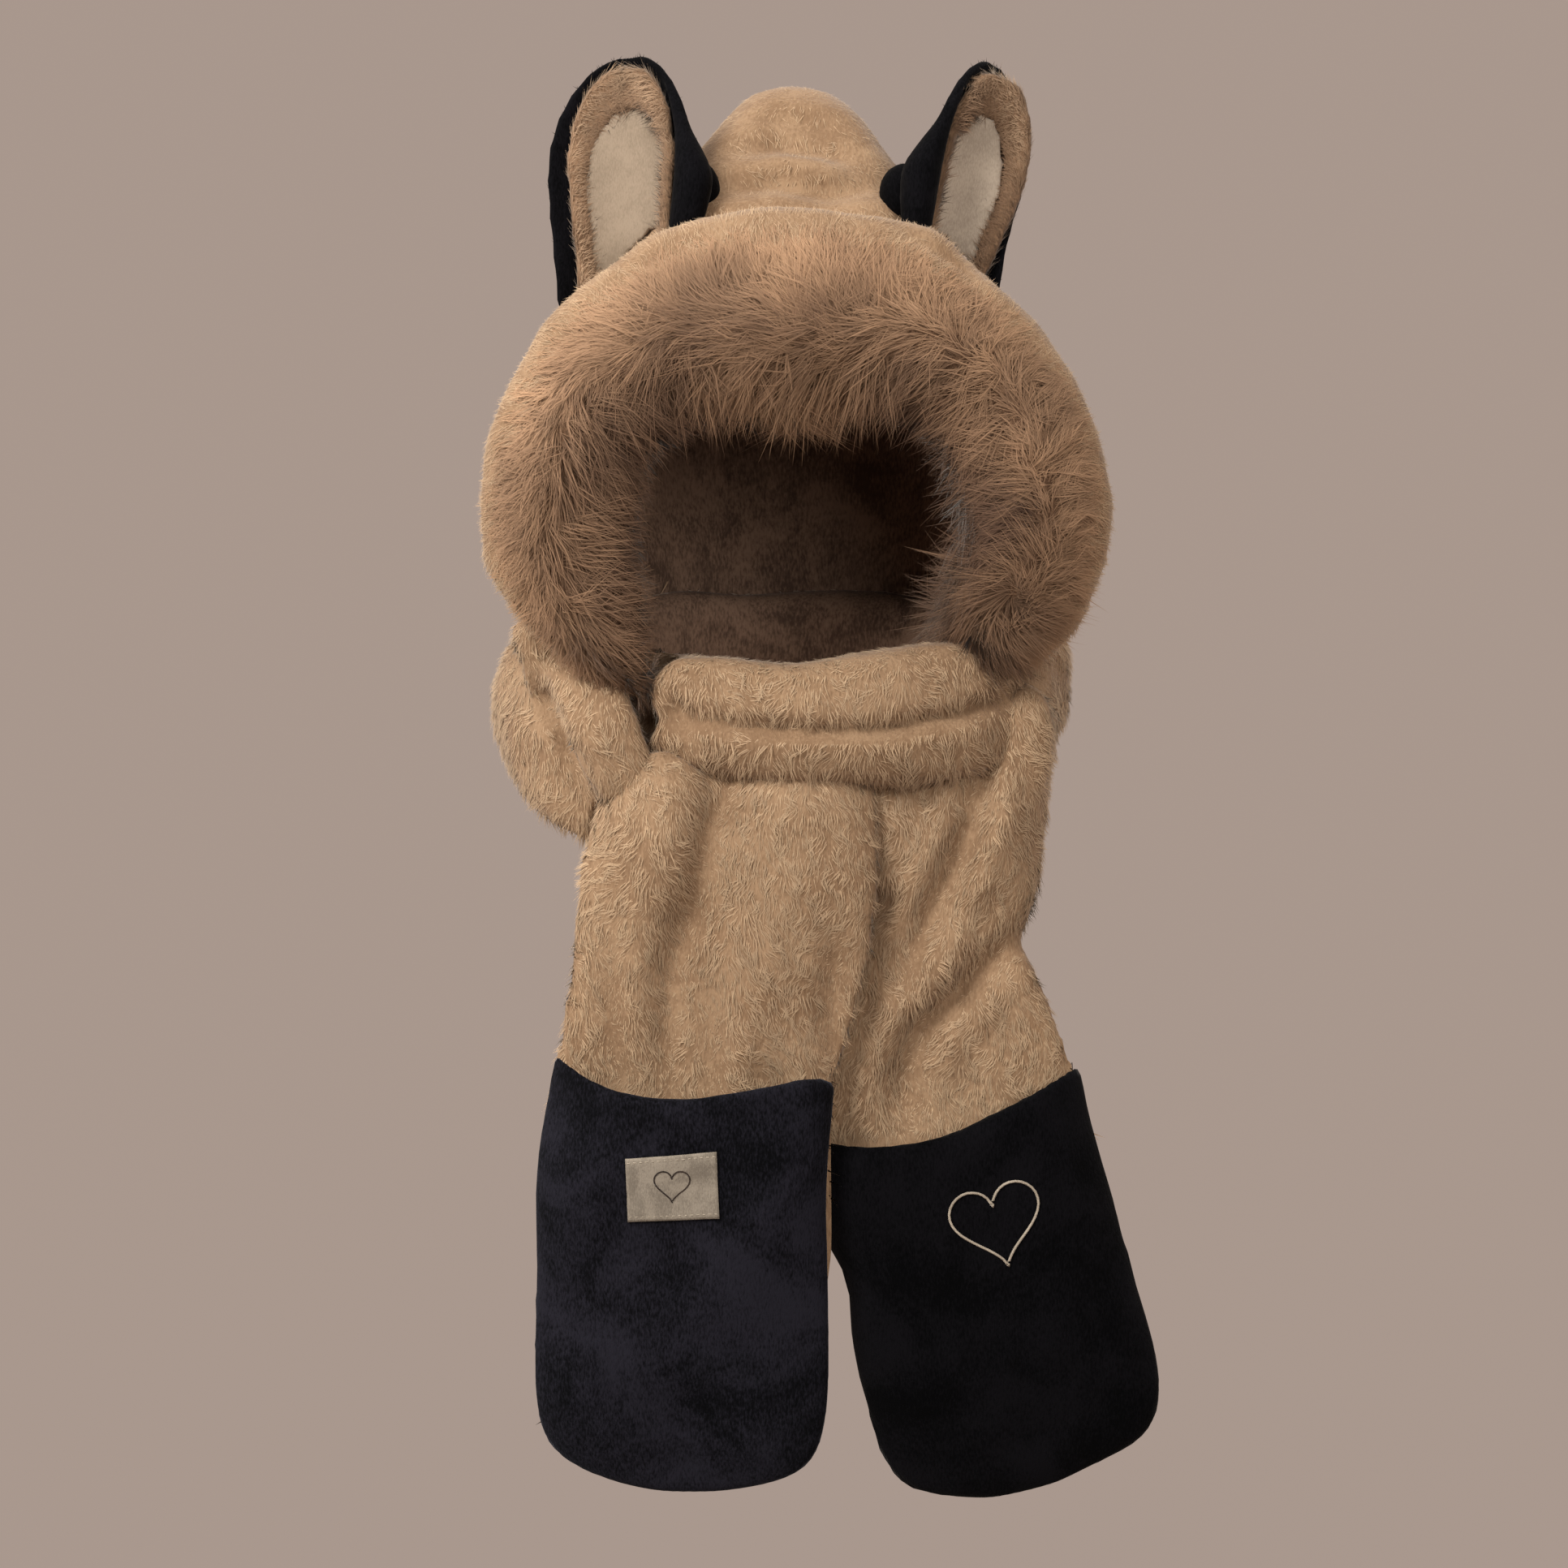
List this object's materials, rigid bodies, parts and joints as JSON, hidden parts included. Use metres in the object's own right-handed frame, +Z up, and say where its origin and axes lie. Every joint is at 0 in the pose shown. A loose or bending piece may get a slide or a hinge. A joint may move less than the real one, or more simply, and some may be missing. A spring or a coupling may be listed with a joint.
{
  "type": "animal hood scarf",
  "caption": "Plush hood with a deep fur brim and cupped animal ears, joined to a scarf wound once round the neck whose hanging ends are open hand pockets.",
  "frame": {"origin": "the inside of the crown at its apex, where the hood sits on a head", "axes": "+Z up, the face opening looks along -Y, +X to the right of someone who faces the front"},
  "size_m": [0.4112, 0.3227, 0.8636],
  "materials": {
    "plush_tan": "short dense tan plush pile, matte with a soft sheen",
    "fur_tan": "long soft faux fur, warm brown at the root and tan at the tip",
    "plush_black": "short black velvet pile with a faint blue sheen",
    "ear_cream": "short cream pile",
    "label_cloth": "woven cotton tape, stitched at its edges"
  },
  "bodies": {
    "root": {"hood_crown": "plush_tan", "hood_brim": "plush_tan", "fur_trim": "fur_tan", "neck_wrap": "plush_tan", "loose_turn": "plush_tan", "scarf_tail_left": "plush_tan", "scarf_tail_right": "plush_tan", "pocket_left": "plush_black", "pocket_right": "plush_black", "pocket_label": "label_cloth", "ear_back_left": "plush_black", "ear_band_left": "plush_tan", "ear_panel_left": "ear_cream", "ear_back_right": "plush_black", "ear_band_right": "plush_tan", "ear_panel_right": "ear_cream"}
  },
  "joints": []
}
